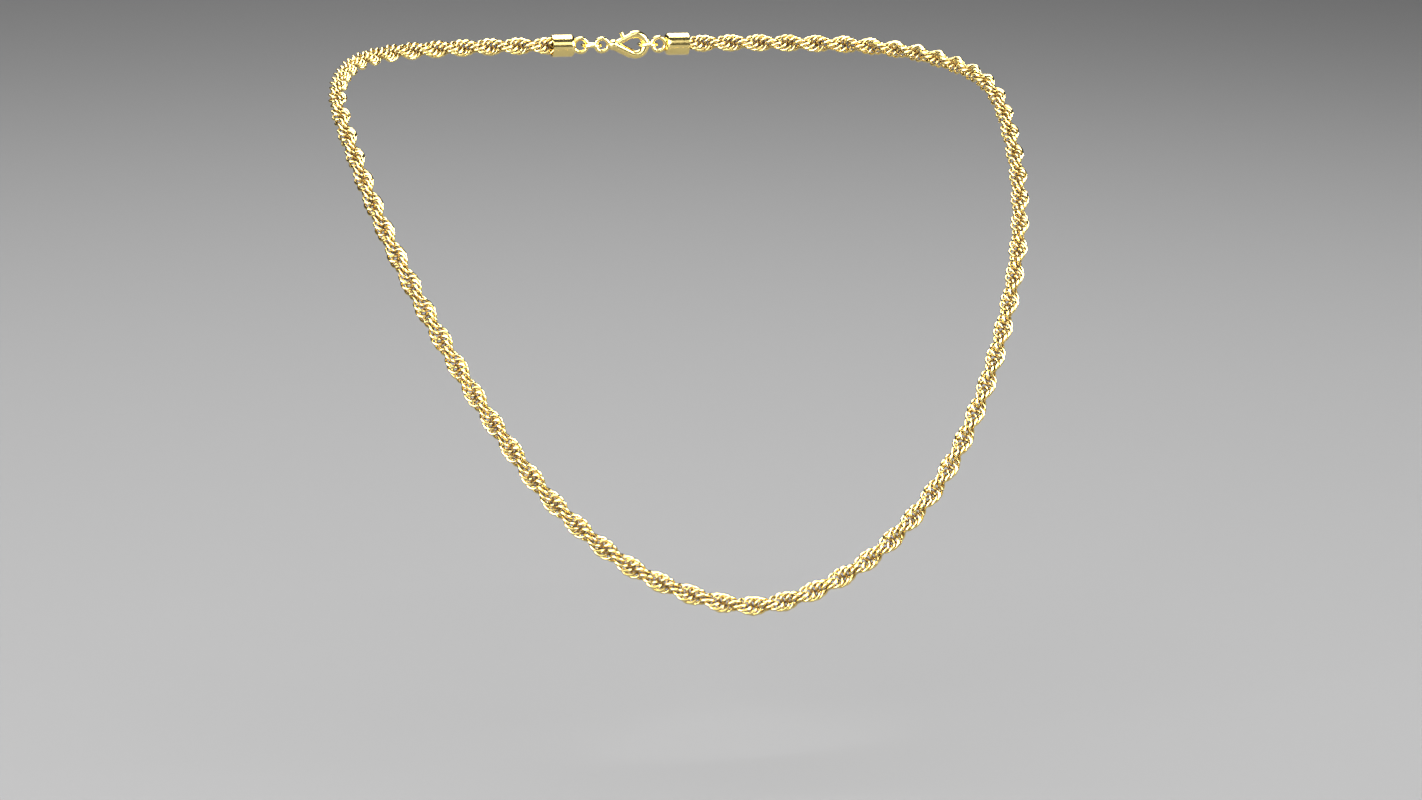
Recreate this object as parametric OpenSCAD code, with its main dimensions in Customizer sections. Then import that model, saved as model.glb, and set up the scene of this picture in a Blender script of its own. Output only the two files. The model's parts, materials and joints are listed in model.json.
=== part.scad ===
// Rope chain necklace, closed and in the form it takes when worn.
// X runs across the neck, the front of the loop is at -Y and +Z is up.
// The origin is the middle of the clasp, at the nape.

/* [Rope] */
// Width over the twisted links
rope_d = 4; // [3:0.1:5]

/* [End caps] */
// Wall of a cap round the rope
cap_wall = 0.4; // [0.3:0.05:0.8]
// Length of rope that a cap holds
cap_depth = 4; // [2.5:0.25:6]
// Thickness of a cap's closed end
cap_end = 1.2; // [0.8:0.1:2]
// Radius of a cap's rounded shoulder
cap_round = 0.9; // [0.4:0.1:1.2]
// Clearance between the rope and its cap, all round
cap_play = 0.15; // [0.05:0.05:0.3]

/* [Cap loops] */
// Wire of the loop soldered to a cap
loop_wire = 0.9; // [0.7:0.05:1.1]
// Hole of the loop
loop_hole = 2.2; // [1.8:0.1:3]

/* [Jump rings] */
// Wire of a jump ring
ring_wire = 0.8; // [0.6:0.05:1]
// Hole of a jump ring
ring_hole = 3.2; // [2.6:0.1:4]
// Clearance between two linked wires
link_play = 0.15; // [0.1:0.05:0.3]

/* [Clasp] */
// Length over the clasp
clasp_length = 13; // [11.5:0.5:16]
// Hole of the claw
claw_hole = 2.8; // [2.2:0.1:3.4]
// Thickness of the claw
claw_wire = 1.8; // [1.5:0.1:2]
// Thickness of the body that holds the lever's spring
body_d = 2.2; // [2.1:0.1:2.6]
// Thickness of the closing lever
lever_wire = 1.3; // [1:0.1:1.4]
// Hole of the eye at the tail
eye_hole = 2; // [1.8:0.1:2.6]
// Wire of the eye
eye_wire = 0.9; // [0.7:0.05:1.1]
// Length of the neck between the eye and the body
neck_length = 1.2; // [0.8:0.1:2]
// Thickness of the neck
neck_d = 1.6; // [1.2:0.1:2]
// Ball where the body and the lever part
ball_d = 2.5; // [2.4:0.1:3]
// Height of the thumb tab over the lever
tab_height = 1.1; // [0.6:0.1:1.6]
// Thickness of the thumb tab
tab_d = 0.9; // [0.6:0.05:0.95]
// Share of the lever's length at which the tab stands
tab_place = 0.6; // [0.4:0.05:0.75]

/* [Hidden] */
$fn = 48;
gold = [0.93, 0.78, 0.42];

// Route of the rope's middle line on the right side, from the front centre round to the nape
route_half = [
    [0, -121, -99], [21, -119, -93], [38, -114, -80], [50, -107, -64], [60, -96, -46],
    [67, -83, -30], [71, -67, -16], [72, -48, -5], [66, -27, -1], [56, -12, 0],
    [44, -4, 0], [28, 0, 0], [14, 0, 0], [0, 0, 0]
];
// Samples on each stretch of the route
route_steps = 12;
// Sides of the rope's tube, and its rings' spacing in diameters
tube_sides = 12;
ring_spacing = 2.1;
// Half of the chord that gives the route's heading at a point
half_chord = 0.5;
// Degrees by which the claw runs into the body
claw_overlap = 5;

// Middle-line radii of the round wires
loop_r = (loop_hole + loop_wire) / 2;
ring_r = (ring_hole + ring_wire) / 2;
eye_r = (eye_hole + eye_wire) / 2;
claw_r = (claw_hole + claw_wire) / 2;

// Distance between the middles of two pieces that pull on each other through their holes
function reach(hole_a, hole_b) = (hole_a + hole_b) / 2 - link_play;
clasp_reach = clasp_length - (eye_r + eye_wire / 2) - (claw_r + claw_wire / 2);
loop_span = 2 * reach(loop_hole, ring_hole) + reach(ring_hole, eye_hole) + clasp_reach
    + reach(claw_hole, ring_hole);

// Places along X, from the left cap's loop to the right cap's
loop_x = loop_span / 2;
ring_left_x = -loop_x + reach(loop_hole, ring_hole);
eye_x = ring_left_x + reach(ring_hole, eye_hole);
claw_x = eye_x + clasp_reach;
ring_right_x = claw_x + reach(claw_hole, ring_hole);

// A cap's closed end touches the middle line of its loop
cap_x = loop_x + loop_r;
bore_r = rope_d / 2 + cap_play;
cap_r = bore_r + cap_wall;
rope_start = cap_x + cap_end + cap_play;

// Whole closed route, from the nape round the right side, the front and the left side
last = len(route_half) - 1;
route = [
    for (i = [last:-1:0]) route_half[i],
    for (i = [1:last - 1]) [-route_half[i].x, route_half[i].y, route_half[i].z]
];

// Point at share t of the stretch that starts at point i: a smooth curve through every point
function spot(i) = route[(i + len(route)) % len(route)];
function blend(a, b, c, d, t) =
    (2 * b + (c - a) * t + (2 * a - 5 * b + 4 * c - d) * t * t + (3 * (b - c) + d - a) * t * t * t) / 2;
function on_stretch(i, t) = blend(spot(i - 1), spot(i), spot(i + 1), spot(i + 2), t);

// The curve as short chords, with the length run so far at the end of each
path = [for (i = [0:len(route) - 1]) for (k = [0:route_steps - 1]) on_stretch(i, k / route_steps), route[0]];
function add_up(lengths, i = 0, sum = 0) =
    i == len(lengths) ? [sum] : concat([sum], add_up(lengths, i + 1, sum + lengths[i]));
run = add_up([for (i = [1:len(path) - 1]) norm(path[i] - path[i - 1])]);
loop_length = run[len(run) - 1];
function along(s) = [for (axis = [0:2]) lookup(s, [for (i = [0:len(run) - 1]) [run[i], path[i][axis]]])];

// Ring of the tube at length s, square to the route
function unit(v) = v / norm(v);
function heading(s) = unit(along(s + half_chord) - along(s - half_chord));
function tube_ring(s) =
    let (middle = along(s), ahead = heading(s), side = unit(cross(ahead, [0, 0, 1])), up = cross(side, ahead))
    [for (k = [0:tube_sides - 1]) let (a = 360 * k / tube_sides)
        middle + rope_d / 2 * (cos(a) * side + sin(a) * up)];

module rope_chain() {
    rope_length = loop_length - 2 * rope_start;
    rings = ceil(rope_length / (ring_spacing * rope_d)) + 1;
    points = [for (i = [0:rings - 1]) each tube_ring(rope_start + rope_length * i / (rings - 1))];
    start_face = [for (k = [0:tube_sides - 1]) k];
    end_face = [for (k = [tube_sides - 1:-1:0]) (rings - 1) * tube_sides + k];
    walls = [for (i = [0:rings - 2]) for (k = [0:tube_sides - 1])
        let (a = i * tube_sides + k, b = i * tube_sides + (k + 1) % tube_sides)
        each [[a, a + tube_sides, b + tube_sides], [a, b + tube_sides, b]]];
    color(gold) polyhedron(points, [start_face, end_face, each walls]);
}

// Round wire bent to a ring about Y, from a first angle through a sweep, measured from +X towards +Z
module wire_ring(middle_r, wire, from = 0, sweep = 360) {
    rotate([90, 0, 0])
        rotate([0, 0, from])
            rotate_extrude(angle = sweep)
                translate([middle_r, 0])
                    circle(d = wire);
}

// Cap on the rope's end towards +X, its mouth open to +X and its loop on the other side
module end_cap() {
    length = cap_end + cap_depth;
    color(gold)
        union() {
            translate([cap_x, 0, 0])
                rotate([0, 90, 0])
                    rotate_extrude()
                        difference() {
                            union() {
                                translate([0, cap_round])
                                    square([cap_r, length - cap_round]);
                                square([cap_r - cap_round, length]);
                                translate([cap_r - cap_round, cap_round])
                                    circle(r = cap_round);
                            }
                            translate([0, cap_end])
                                square([bore_r, length]);
                        }
            translate([loop_x, 0, 0])
                wire_ring(loop_r, loop_wire);
        }
}

module end_cap_left() {
    mirror([1, 0, 0])
        end_cap();
}

module end_cap_right() {
    end_cap();
}

// Jump rings lie flat, across the loops and the clasp
module jump_ring(x) {
    color(gold)
        translate([x, 0, 0])
            rotate([90, 0, 0])
                wire_ring(ring_r, ring_wire);
}

module jump_ring_left() {
    jump_ring(ring_left_x);
}

module jump_ring_right() {
    jump_ring(ring_right_x);
}

// Round bar between two points of the XZ plane
module bar(from, to, wire) {
    way = to - from;
    translate([from.x, 0, from.y])
        rotate([0, atan2(way.x, way.y), 0])
            cylinder(h = norm(way), d = wire);
}

// Clasp, closed: an eye, a neck, the body with the thick claw, and the thin lever that meets its tip
module lobster_clasp() {
    tail = [eye_x + eye_r + neck_length, 0];
    touch = acos(claw_r / (claw_x - tail.x));
    tip = [claw_x - claw_r * cos(touch), claw_r * sin(touch)];
    along_lever = (tip - tail) / norm(tip - tail);
    off_lever = [-along_lever.y, along_lever.x];
    lever_sink = lever_wire / 3;
    tab = tail + (tip - tail) * tab_place;
    color(gold)
        union() {
            translate([eye_x, 0, 0])
                wire_ring(eye_r, eye_wire);
            bar([eye_x + eye_r, 0], tail, neck_d);
            translate([tail.x, 0, 0])
                sphere(d = ball_d);
            bar(tail, [tip.x, -tip.y], body_d);
            translate([claw_x, 0, 0])
                wire_ring(claw_r, claw_wire, touch - 180 - claw_overlap, 360 - 2 * touch + claw_overlap);
            bar(tail, tip + along_lever * lever_sink, lever_wire);
            bar(tab, tab + off_lever * (lever_wire / 2 + tab_height), tab_d);
        }
}

rope_chain();
end_cap_left();
end_cap_right();
jump_ring_left();
jump_ring_right();
lobster_clasp();
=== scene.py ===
"""Rope chain necklace: its two strands of interlocking links, every finish, and the studio round it."""

import json
import logging
import math
from dataclasses import dataclass, field
from enum import Enum

import bpy
import numpy as np
from mathutils import Matrix, Vector


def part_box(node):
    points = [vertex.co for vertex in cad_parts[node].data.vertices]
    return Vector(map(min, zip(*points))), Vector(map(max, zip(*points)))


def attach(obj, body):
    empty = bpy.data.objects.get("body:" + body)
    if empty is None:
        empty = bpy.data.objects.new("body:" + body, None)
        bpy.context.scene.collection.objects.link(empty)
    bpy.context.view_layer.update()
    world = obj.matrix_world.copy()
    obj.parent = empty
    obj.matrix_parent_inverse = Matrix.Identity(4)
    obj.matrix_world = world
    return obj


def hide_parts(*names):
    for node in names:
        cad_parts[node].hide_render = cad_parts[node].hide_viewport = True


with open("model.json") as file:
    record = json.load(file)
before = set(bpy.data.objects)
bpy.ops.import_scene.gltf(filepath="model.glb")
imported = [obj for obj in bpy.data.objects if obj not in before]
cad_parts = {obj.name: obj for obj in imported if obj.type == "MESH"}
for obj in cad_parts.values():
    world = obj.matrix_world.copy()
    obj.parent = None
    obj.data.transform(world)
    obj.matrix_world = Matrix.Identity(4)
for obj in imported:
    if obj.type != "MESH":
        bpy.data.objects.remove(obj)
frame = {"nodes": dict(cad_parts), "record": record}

LOG = logging.getLogger("rope_chain")
MM = 0.001
BODY = "root"
PHOTO_WIDTH = 1422
# Detail of the broad noises
PATCH_DETAIL = 2.0

# The rope's middle line on the +X side, from the front centre round to the nape, as in the part's source
ROUTE_HALF = (
    (0.000, -0.121, -0.099), (0.021, -0.119, -0.093), (0.038, -0.114, -0.080), (0.050, -0.107, -0.064),
    (0.060, -0.096, -0.046), (0.067, -0.083, -0.030), (0.071, -0.067, -0.016), (0.072, -0.048, -0.005),
    (0.066, -0.027, -0.001), (0.056, -0.012, 0.000), (0.044, -0.004, 0.000), (0.028, 0.000, 0.000),
    (0.014, 0.000, 0.000), (0.000, 0.000, 0.000),
)

Triple = tuple[float, float, float]


def opaque(colour: Triple) -> tuple[float, ...]:
    """Gives a colour as the four numbers that a colour input holds."""
    return (*colour, 1.0)


def grey(value: float) -> tuple[float, ...]:
    """Gives a grey as the four numbers that a colour input holds."""
    return opaque((value, value, value))


def units(vectors: np.ndarray) -> np.ndarray:
    """Scales each row to length one.

    Args:
        vectors: rows of three numbers.

    Returns:
        Rows of the same direction and length one.
    """
    return vectors / np.linalg.norm(vectors, axis=-1, keepdims=True)


@dataclass
class Route:
    """Closed middle line of the worn rope. Lengths count from the front centre, positive on the +X side.

    Attributes:
        half: points from the front centre to the nape on the +X side, in metres.
        steps: samples on the stretch between two points.
        half_chord: half of the chord that gives the way ahead at a place.
        points: the samples.
        run: length from the front centre to each sample.
        normals: an untwisted normal at each sample.
    """

    half: tuple[Triple, ...] = ROUTE_HALF
    steps: int = 60
    half_chord: float = 0.5 * MM
    points: np.ndarray = field(init=False)
    run: np.ndarray = field(init=False)
    normals: np.ndarray = field(init=False)

    def __post_init__(self) -> None:
        """Works out the samples, the lengths run to them and an untwisted normal at each."""
        right = np.array(self.half)
        knots = np.concatenate([right[:0:-1] * (-1, 1, 1), right[:-1]])
        t = np.arange(self.steps)[:, None] / self.steps
        stretches = []
        for i in range(len(knots)):
            a, b, c, d = (knots[(i + k) % len(knots)] for k in (-1, 0, 1, 2))
            bend, twist = 2 * a - 5 * b + 4 * c - d, 3 * (b - c) + d - a
            stretches.append((2 * b + (c - a) * t + bend * t**2 + twist * t**3) / 2)
        self.points = np.concatenate([*stretches, knots[:1]])
        chords = np.linalg.norm(np.diff(self.points, axis=0), axis=1)
        self.run = np.concatenate([[0], np.cumsum(chords)]) - chords.sum() / 2
        self.normals = self._untwisted()

    @property
    def length(self) -> float:
        """Whole length of the closed line."""
        return self.run[-1] - self.run[0]

    def _untwisted(self) -> np.ndarray:
        """Carries a normal along the line without twist, both ways from the front centre.

        Returns:
            A normal at each sample.
        """
        ahead = units(np.gradient(self.points, axis=0))
        normals = np.zeros_like(ahead)
        middle = len(ahead) // 2
        normals[middle] = (0, -1, 0)
        for order in (range(middle + 1, len(ahead)), range(middle - 1, -1, -1)):
            normal = normals[middle]
            for i in order:
                normal = units(normal - normal @ ahead[i] * ahead[i])
                normals[i] = normal
        return normals

    def along(self, table: np.ndarray, s: np.ndarray) -> np.ndarray:
        """Reads a table of the samples at given lengths.

        Args:
            table: a row for each sample.
            s: lengths from the front centre, in metres.

        Returns:
            A row for each length.
        """
        return np.stack([np.interp(s, self.run, column) for column in table.T], axis=-1)

    def axes(self, s: np.ndarray) -> np.ndarray:
        """Gives the untwisted axes of the rope at given lengths.

        Args:
            s: lengths from the front centre, in metres.

        Returns:
            A 3 by 3 matrix for each length, whose columns are two normals and the way ahead.
        """
        after = self.along(self.points, s + self.half_chord)
        before = self.along(self.points, s - self.half_chord)
        ahead = units(after - before)
        first = self.along(self.normals, s)
        first = units(first - (first * ahead).sum(-1, keepdims=True) * ahead)
        return np.stack([first, np.cross(ahead, first), ahead], axis=-1)


@dataclass(frozen=True)
class Link:
    """One open ring of round wire, wide enough for the next links of both strands to pass through.

    Attributes:
        wire: thickness of the wire on the rope's outside.
        inner_wire: thickness of the wire inside the rope.
        radius: of the ring's middle line.
        offset: of the ring's middle from the rope's.
        lean: angle between the ring's plane and a plane across the rope, in degrees.
        gap: angle that the ring is open over, in degrees, which keeps it clear of the other links.
        gap_place: angle of the gap's middle from the outermost point, in degrees.
        thinning: angles from the outermost point between which the wire thins, in degrees.
        segments: along the wire.
        sides: round the wire.
    """

    wire: float
    inner_wire: float
    radius: float
    offset: float
    lean: float = 75.0
    gap: float = 116.0
    gap_place: float = -151.0
    thinning: tuple[float, float] = (50.0, 105.0)
    segments: int = 28
    sides: int = 10

    @property
    def reach(self) -> float:
        """Half length of the link along the rope."""
        return self.radius * math.sin(math.radians(self.lean)) + self.wire / 2

    def vertices(self) -> np.ndarray:
        """Gives the wire's surface, in axes whose X points out of the rope and whose Z points ahead.

        Returns:
            A row of three coordinates for each vertex, ring by ring.
        """
        lean = math.radians(self.lean)
        out = np.array((1.0, 0.0, 0.0))
        over = np.array((0.0, -math.cos(lean), math.sin(lean)))
        flat = np.cross(out, over)
        start, end = self.gap_place + self.gap / 2, self.gap_place - self.gap / 2 + 360
        turn = np.linspace(start, end, self.segments + 1)[:, None, None]
        inside = np.clip((np.abs(turn) - self.thinning[0]) / (self.thinning[1] - self.thinning[0]), 0, 1)
        thickness = self.wire + (self.inner_wire - self.wire) * inside**2 * (3 - 2 * inside)
        turn = np.radians(turn)
        round_wire = (np.arange(self.sides) * 2 * math.pi / self.sides)[None, :, None]
        radial = np.cos(turn) * out + np.sin(turn) * over
        tube = thickness / 2 * (np.cos(round_wire) * radial + np.sin(round_wire) * flat)
        return (self.offset * out + self.radius * radial + tube).reshape(-1, 3)

    def faces(self) -> tuple[np.ndarray, np.ndarray]:
        """Gives the faces of one link.

        Returns:
            The wall's quads and the two ends' polygons, as rows of vertex numbers.
        """
        ring, side = np.meshgrid(np.arange(self.segments), np.arange(self.sides), indexing="ij")
        here = (ring * self.sides + side).ravel()
        beside = (ring * self.sides + (side + 1) % self.sides).ravel()
        quads = np.stack([here, beside, beside + self.sides, here + self.sides], axis=1)
        start = np.arange(self.sides)[::-1]
        end = self.segments * self.sides + np.arange(self.sides)
        return quads, np.stack([start, end])


class Strand(Enum):
    """The two strands of the rope, whose links take turns along it on opposite sides."""

    FIRST = 0
    SECOND = 1


class Side(Enum):
    """The halves of the loop, towards +X and towards -X."""

    LEFT = 1
    RIGHT = -1


@dataclass
class Rope:
    """The twisted strands of links between the two end caps.

    Attributes:
        route: the rope's middle line.
        width: over the twisted links.
        lobe: length of rope in which the twist makes half a turn.
        links_per_lobe: links of both strands in that length.
        first: length from the front centre to link number 0.
        phase: angle of that link round the rope, in degrees.
        held: length of rope inside an end cap.
        seed: of the links' small differences in tone.
        wire: thickness of a link's wire, as a share of the width.
        inner_wire: its thickness inside the rope, as a share of the width.
        offset: of a link's middle from the rope's, as a share of the width.
    """

    route: Route
    width: float
    lobe: float = 6.64 * MM
    links_per_lobe: int = 13
    first: float = 2.3 * MM
    phase: float = -9.3
    held: float = 3.9 * MM
    seed: int = 7
    wire: float = 0.141
    inner_wire: float = 0.07
    offset: float = 0.041

    @property
    def link(self) -> Link:
        """The link that the rope's width calls for."""
        shares = (self.wire, self.inner_wire, self.offset)
        wire, inner_wire, offset = (share * self.width for share in shares)
        return Link(wire, inner_wire, (self.width - wire) / 2 - offset, offset)

    def numbers(self) -> np.ndarray:
        """Numbers the links that fit between the seats in the two caps.

        Returns:
            Each link's number, below 0 on the -X side.
        """
        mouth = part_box("end_cap_right")[1][0]
        end = self.route.length / 2 - mouth + self.held - self.link.reach
        start, stop = ((place - self.first) * self.links_per_lobe / self.lobe for place in (-end, end))
        return np.arange(math.ceil(start), math.floor(stop) + 1)

    def build(self, strand: Strand, side: Side) -> bpy.types.Object:
        """Makes one strand's links on one half of the loop.

        Args:
            strand: which of the two.
            side: which half.

        Returns:
            The new object, in the scene.
        """
        link = self.link
        numbers = self.numbers()
        chosen = (numbers % 2 == strand.value) & ((numbers < 0) == (side is Side.RIGHT))
        lobes = numbers[chosen] / self.links_per_lobe
        places = self.first + lobes * self.lobe
        angle = math.radians(self.phase) + math.pi * (lobes + strand.value)
        cos, sin, none = np.cos(angle), np.sin(angle), np.zeros_like(angle)
        rows = [cos, -sin, none, sin, cos, none, none, none, none + 1]
        axes = self.route.axes(places) @ np.stack(rows, axis=-1).reshape(-1, 3, 3)
        shape = link.vertices()
        middles = self.route.along(self.route.points, places)[:, None]
        vertices = np.einsum("nij,vj->nvi", axes, shape) + middles
        quads, ends = link.faces()
        start = (np.arange(len(places)) * len(shape))[:, None, None]
        walls = (quads + start).reshape(-1, 4).tolist()
        caps = (ends + start).reshape(-1, link.sides).tolist()
        mesh = bpy.data.meshes.new(f"rope_{strand.name.lower()}_{side.name.lower()}")
        mesh.from_pydata(vertices.reshape(-1, 3).tolist(), [], walls + caps)
        mesh.polygons.foreach_set("use_smooth", [True] * len(walls) + [False] * len(caps))
        height = np.hypot(shape[:, 0], shape[:, 1]) / (self.width / 2)
        tone = np.random.default_rng(self.seed + strand.value + side.value).random(len(places))
        self._attribute(mesh, "height", np.tile(height, len(places)))
        self._attribute(mesh, "tone", np.repeat(tone, len(shape)))
        mesh.validate()
        strand_object = bpy.data.objects.new(mesh.name, mesh)
        bpy.context.scene.collection.objects.link(strand_object)
        triangles = len(places) * 2 * (len(quads) + link.sides - 2)
        LOG.info("%s: %d links, %d triangles", mesh.name, len(places), triangles)
        return strand_object

    @staticmethod
    def _attribute(mesh: bpy.types.Mesh, name: str, values: np.ndarray) -> None:
        """Keeps a number with each vertex.

        Args:
            mesh: the mesh to add to.
            name: of the attribute.
            values: one for each vertex.
        """
        mesh.attributes.new(name, "FLOAT", "POINT").data.foreach_set("value", values.astype(np.float32))


class Graph:
    """The nodes of one material."""

    def __init__(self, name: str) -> None:
        """Starts a material with a Principled surface.

        Args:
            name: of the material.
        """
        self.material = bpy.data.materials.new(name)
        self.material.use_nodes = True
        self.tree = self.material.node_tree
        self.surface = self.tree.nodes["Principled BSDF"]

    def node(
        self, kind: str, settings: dict | None = None, inputs: dict | None = None
    ) -> bpy.types.Node:
        """Adds a node.

        Args:
            kind: the node's type.
            settings: the node's own properties, set first.
            inputs: values, or sockets to link from, by the input's name or number.

        Returns:
            The new node.
        """
        node = self.tree.nodes.new(kind)
        for key, value in (settings or {}).items():
            setattr(node, key, value)
        for key, value in (inputs or {}).items():
            self.feed(node.inputs[key], value)
        return node

    def feed(self, socket: bpy.types.NodeSocket, value: object) -> None:
        """Links a socket to another, or sets its value.

        Args:
            socket: the input.
            value: a Value, a socket, or what the input holds.
        """
        if isinstance(value, Value):
            value = value.socket
        if isinstance(value, bpy.types.NodeSocket):
            self.tree.links.new(value, socket)
        else:
            socket.default_value = value

    def noise(self, scale: float, detail: float = 3.0, stretch: Triple = (1.0, 1.0, 1.0)) -> "Value":
        """Adds a noise over the object's own coordinates.

        Args:
            scale: waves in a metre.
            detail: of the noise.
            stretch: factors on the three coordinates.

        Returns:
            The noise, from 0 to 1.
        """
        place = self.node("ShaderNodeTexCoord").outputs["Object"]
        place = self.node("ShaderNodeMapping", {}, {"Vector": place, "Scale": stretch}).outputs["Vector"]
        inputs = {"Vector": place, "Scale": scale, "Detail": detail}
        return Value(self, self.node("ShaderNodeTexNoise", {}, inputs).outputs["Fac"])

    def attribute(self, name: str) -> "Value":
        """Reads a number kept with the mesh.

        Args:
            name: of the attribute.

        Returns:
            Its value.
        """
        return Value(self, self.node("ShaderNodeAttribute", {"attribute_name": name}).outputs["Fac"])

    def mix(self, factor: "Value", low: object, high: object) -> bpy.types.NodeSocket:
        """Mixes two colours.

        Args:
            factor: 0 for the first, 1 for the second.
            low: a colour or a socket.
            high: a colour or a socket.

        Returns:
            The mixed colour's socket.
        """
        node = self.node("ShaderNodeMix", {"data_type": "RGBA", "clamp_factor": True})
        for name, value in (("Factor_Float", factor), ("A_Color", low), ("B_Color", high)):
            self.feed(next(s for s in node.inputs if s.identifier == name), value)
        return next(s for s in node.outputs if s.identifier == "Result_Color")


@dataclass(frozen=True)
class Value:
    """A number socket that takes part in sums. Each operation adds its Math node.

    Attributes:
        graph: where the nodes go.
        socket: the number's output.
    """

    graph: Graph
    socket: bpy.types.NodeSocket

    def _math(self, operation: str, *values: object) -> "Value":
        """Adds a Math node.

        Args:
            operation: of the node.
            values: its inputs in order.

        Returns:
            The result.
        """
        node = self.graph.node("ShaderNodeMath", {"operation": operation}, dict(enumerate(values)))
        return Value(self.graph, node.outputs[0])

    def __add__(self, other: object) -> "Value":
        """Sum."""
        return self._math("ADD", self, other)

    def __radd__(self, other: object) -> "Value":
        """Sum, reflected."""
        return self._math("ADD", other, self)

    def __sub__(self, other: object) -> "Value":
        """Difference."""
        return self._math("SUBTRACT", self, other)

    def __rsub__(self, other: object) -> "Value":
        """Difference, reflected."""
        return self._math("SUBTRACT", other, self)

    def __mul__(self, other: object) -> "Value":
        """Product."""
        return self._math("MULTIPLY", self, other)

    def __rmul__(self, other: object) -> "Value":
        """Product, reflected."""
        return self._math("MULTIPLY", other, self)

    def ramp(self, low: float, high: float) -> "Value":
        """Rises smoothly from 0 at one value to 1 at another.

        Args:
            low: value that gives 0.
            high: value that gives 1.

        Returns:
            The smooth step.
        """
        settings = {"interpolation_type": "SMOOTHSTEP"}
        inputs = {"Value": self, "From Min": low, "From Max": high}
        node = self.graph.node("ShaderNodeMapRange", settings, inputs)
        return Value(self.graph, node.outputs["Result"])


@dataclass(frozen=True)
class PolishedGold:
    """Polished yellow gold.

    Attributes:
        name: of the material.
        colour: of the metal, before painted shade, tone or wear.
        shade: dark colour of the painted shade deep in a crevice, of a link's darker tone and of a worn
            patch.
        gloss: roughness at its smoothest and its dullest.
        ripple: height of the surface's fine unevenness.
        grain: waves of that unevenness in a metre.
        stretch: factors on the grain's three coordinates.
        twisted: whether the mesh keeps the height and tone of its links.
        crevice: heights, as shares of the rope's half width, at which the painted crevice shade is
            strongest and at which it ends.
        painted_crevice_shade: share of the shade colour in the painted shade deep in a crevice.
        tone_shade: largest share of the shade that a link's own tone brings.
        crevice_dull: weight of a crevice in the dullness of links.
        wear_dull: weight of worn patches in the dullness of links.
        patch: width of worn patches, in waves of the grain.
        worn: noise at which a plain piece starts to look worn and is most worn.
        worn_shade: largest share of the shade on a plain piece.
    """

    name: str
    colour: Triple = (0.97, 0.77, 0.29)
    shade: Triple = (0.14, 0.06, 0.015)
    gloss: tuple[float, float] = (0.14, 0.26)
    ripple: float = 0.01 * MM
    grain: float = 1500.0
    stretch: Triple = (1.0, 1.0, 1.0)
    twisted: bool = False
    crevice: tuple[float, float] = (0.25, 0.8)
    painted_crevice_shade: float = 0.85
    tone_shade: float = 0.15
    crevice_dull: float = 0.6
    wear_dull: float = 0.4
    patch: float = 6.0
    worn: tuple[float, float] = (0.45, 0.8)
    worn_shade: float = 0.12

    def material(self) -> bpy.types.Material:
        """Builds the material.

        Returns:
            The new material.
        """
        graph = Graph(self.name)
        surface = graph.surface
        surface.inputs["Metallic"].default_value = 1.0
        wear = graph.noise(self.grain / self.patch, PATCH_DETAIL)
        grain = graph.noise(self.grain, stretch=self.stretch)
        if self.twisted:
            # Painted shade: links darken towards the rope's middle, where shade falls between the wires;
            # elsewhere each link's random tone darkens it a little
            deep = 1.0 - graph.attribute("height").ramp(*self.crevice)
            shade = deep * self.painted_crevice_shade + (1.0 - deep) * graph.attribute("tone") * self.tone_shade
            dull = deep * self.crevice_dull + wear * self.wear_dull
        else:
            shade = wear.ramp(*self.worn) * self.worn_shade
            dull = wear
        smoothest, dullest = self.gloss
        base = graph.mix(shade, opaque(self.colour), opaque(self.shade))
        graph.feed(surface.inputs["Base Color"], base)
        graph.feed(surface.inputs["Roughness"], dull * (dullest - smoothest) + smoothest)
        inputs = {"Strength": 1.0, "Distance": self.ripple, "Height": grain}
        bump = graph.node("ShaderNodeBump", {}, inputs)
        graph.feed(surface.inputs["Normal"], bump.outputs["Normal"])
        return graph.material


LINKS = PolishedGold("gold_links", twisted=True)
TURNED = PolishedGold(
    "gold_turned", gloss=(0.12, 0.22), ripple=0.004 * MM, grain=4000.0, stretch=(1.0, 0.1, 0.1)
)
DRAWN = PolishedGold("gold_drawn", gloss=(0.10, 0.20))
CAST = PolishedGold("gold_cast", gloss=(0.12, 0.26), ripple=0.015 * MM, grain=900.0)


@dataclass
class Fittings:
    """The caps, rings and clasp at the nape, whose solids stay as they are.

    Attributes:
        finishes: each node's finish.
    """

    finishes: dict[str, PolishedGold] = field(default_factory=lambda: {
        "end_cap_left": TURNED,
        "end_cap_right": TURNED,
        "jump_ring_left": DRAWN,
        "jump_ring_right": DRAWN,
        "lobster_clasp": CAST,
    })

    def dress(self) -> None:
        """Gives each node its finish."""
        made: dict[str, bpy.types.Material] = {}
        for node, finish in self.finishes.items():
            if finish.name not in made:
                made[finish.name] = finish.material()
            materials = frame["nodes"][node].data.materials
            materials.clear()
            materials.append(made[finish.name])
            LOG.info("%s: %s", node, finish.name)


@dataclass(frozen=True)
class SoftBox:
    """A large plain studio light.

    Attributes:
        name: of the light.
        place: of its middle, from the chain's.
        size: its two sides.
        radiance: how bright its face is.
    """

    name: str
    place: Triple
    size: tuple[float, float]
    radiance: float

    def hang(self, target: Vector) -> None:
        """Puts the light in the scene, facing the chain.

        Args:
            target: middle of the chain.
        """
        light = bpy.data.lights.new(self.name, "AREA")
        light.shape = "RECTANGLE"
        light.size, light.size_y = self.size
        light.energy = self.radiance * math.pi * self.size[0] * self.size[1]
        lamp = bpy.data.objects.new(self.name, light)
        lamp.location = target + Vector(self.place)
        lamp.rotation_euler = (-Vector(self.place)).to_track_quat("-Z", "Y").to_euler()
        lamp.visible_camera = False
        bpy.context.scene.collection.objects.link(lamp)


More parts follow.
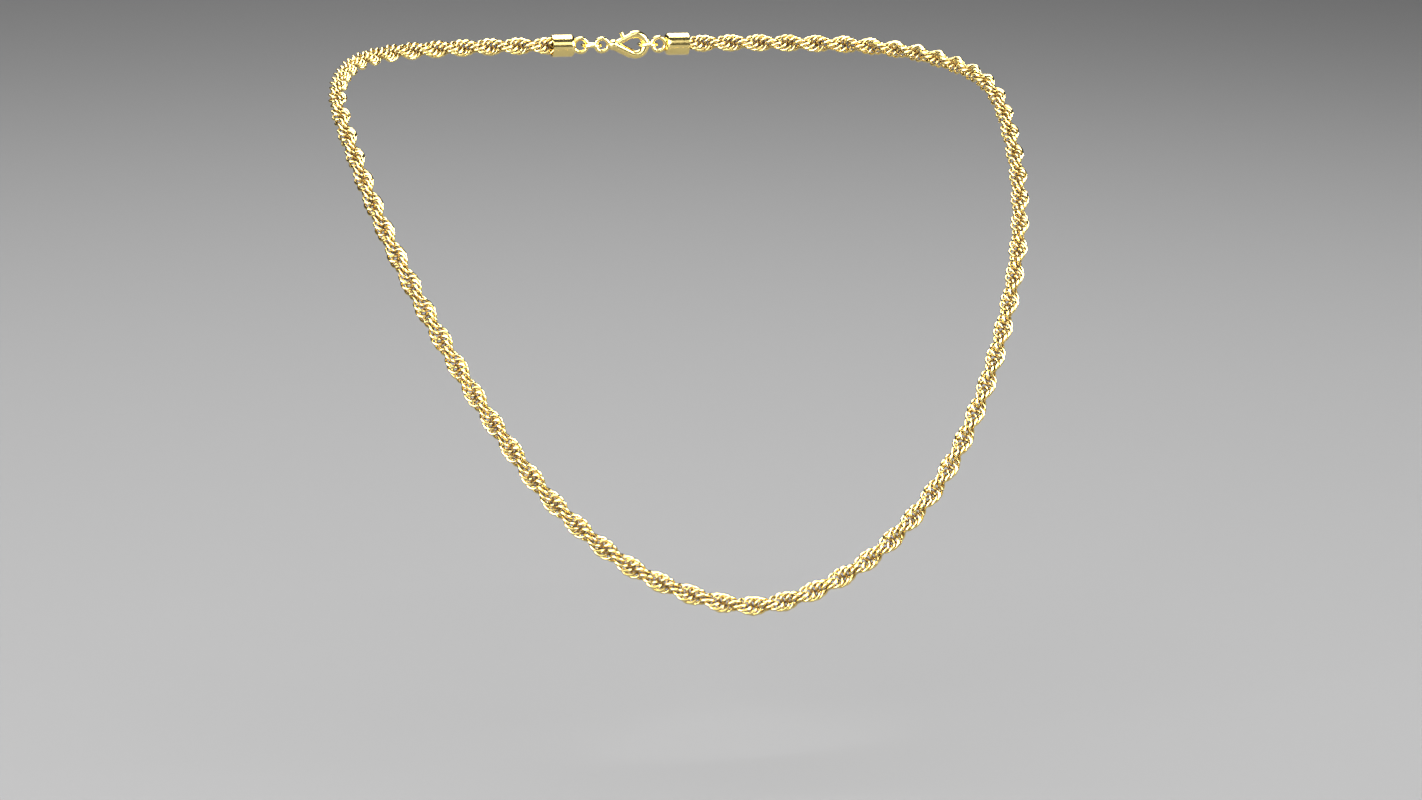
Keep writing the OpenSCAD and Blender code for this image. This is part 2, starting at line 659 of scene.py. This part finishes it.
@dataclass
class Studio:
    """The camera at the photograph's angle, a pale floor and soft light.

    Attributes:
        target: point that the camera looks at.
        azimuth: of the camera, in degrees.
        elevation: of the camera, in degrees.
        roll: of the camera, in degrees.
        distance: of the camera from the target.
        focal: focal length in the photograph's pixels.
        drop: of the floor below the chain's lowest point.
        floor_side: side of the floor.
        floor_grey: of the floor.
        world_grey: of the room.
        sensor: width of the camera's sensor, in millimetres.
        clip: nearest and farthest distance that the camera sees.
        clouds: waves of the floor's faint clouding in a metre.
        clouding: largest share of the darker grey in it.
        cloud_grey: the darker grey, as a share of the floor's.
        floor_roughness: of the floor.
        boxes: the soft lights.
    """

    target: Vector = field(default_factory=lambda: Vector((0.0062, -0.060, -0.0704)))
    azimuth: float = -15.3
    elevation: float = 12.3
    roll: float = 0.7
    distance: float = 0.690
    focal: float = 3200.0
    drop: float = 0.03
    floor_side: float = 12.0
    floor_grey: float = 0.13
    world_grey: float = 0.03
    sensor: float = 36.0
    clip: tuple[float, float] = (0.01, 100.0)
    clouds: float = 6.0
    clouding: float = 0.02
    cloud_grey: float = 0.9
    floor_roughness: float = 0.8
    boxes: tuple[SoftBox, ...] = (
        SoftBox("key", (-0.25, -1.2, 0.75), (1.2, 0.7), 3.0),
        SoftBox("right", (0.95, -0.65, 0.5), (0.9, 0.7), 17.0),
        SoftBox("left", (-0.95, -0.65, 0.5), (0.9, 0.7), 19.5),
        SoftBox("top", (0.0, 0.3, 1.1), (0.8, 0.8), 10.0),
        SoftBox("far", (0.0, 2.8, 2.4), (3.0, 1.5), 5.0),
    )

    def camera(self) -> None:
        """Puts the camera where the photograph was taken from."""
        azimuth, elevation = math.radians(self.azimuth), math.radians(self.elevation)
        back = Vector((
            math.sin(azimuth) * math.cos(elevation),
            -math.cos(azimuth) * math.cos(elevation),
            math.sin(elevation),
        ))
        right = Vector((math.cos(azimuth), math.sin(azimuth), 0.0))
        axes = Matrix((right, back.cross(right), back)).transposed()
        data = bpy.data.cameras.new("camera")
        data.sensor_width = self.sensor
        data.lens = self.focal * data.sensor_width / PHOTO_WIDTH
        data.clip_start, data.clip_end = self.clip
        camera = bpy.data.objects.new("camera", data)
        turned = axes @ Matrix.Rotation(math.radians(self.roll), 3, "Z")
        camera.matrix_world = Matrix.Translation(self.target + back * self.distance) @ turned.to_4x4()
        bpy.context.scene.collection.objects.link(camera)
        bpy.context.scene.camera = camera

    def floor(self) -> None:
        """Lays the pale floor under the chain."""
        half = self.floor_side / 2
        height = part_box("rope_chain")[0][2] - self.drop
        mesh = bpy.data.meshes.new("floor")
        signs = ((-1, -1), (1, -1), (1, 1), (-1, 1))
        mesh.from_pydata([(x * half, y * half, height) for x, y in signs], [], [(0, 1, 2, 3)])
        graph = Graph("floor_paint")
        cloud = graph.noise(self.clouds, PATCH_DETAIL) * self.clouding
        paint = graph.mix(cloud, grey(self.floor_grey), grey(self.floor_grey * self.cloud_grey))
        graph.feed(graph.surface.inputs["Base Color"], paint)
        graph.surface.inputs["Roughness"].default_value = self.floor_roughness
        mesh.materials.append(graph.material)
        floor = bpy.data.objects.new("floor", mesh)
        bpy.context.scene.collection.objects.link(floor)

    def light(self) -> None:
        """Hangs the soft boxes and sets the room's grey."""
        for box in self.boxes:
            box.hang(self.target)
        world = bpy.data.worlds.new("room")
        world.use_nodes = True
        world.node_tree.nodes["Background"].inputs["Color"].default_value = grey(self.world_grey)
        scene = bpy.context.scene
        scene.world = world
        scene.view_settings.view_transform = "Standard"
        scene.view_settings.look = "None"


def main() -> None:
    """Builds the studio, the rope's strands and the fittings' finishes."""
    logging.basicConfig(level=logging.INFO, format="%(message)s")
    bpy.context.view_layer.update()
    studio = Studio()
    studio.camera()
    pendant = next(m for m in frame["record"]["mounts"] if m["name"] == "pendant_run")
    rope = Rope(Route(), width=2 * pendant["dims"]["r_mm"] * MM)
    gold = LINKS.material()
    for strand in Strand:
        for side in Side:
            piece = rope.build(strand, side)
            piece.data.materials.append(gold)
            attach(piece, BODY)
            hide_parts("rope_chain")
    Fittings().dress()
    studio.floor()
    studio.light()


if __name__ == "__main__":
    main()
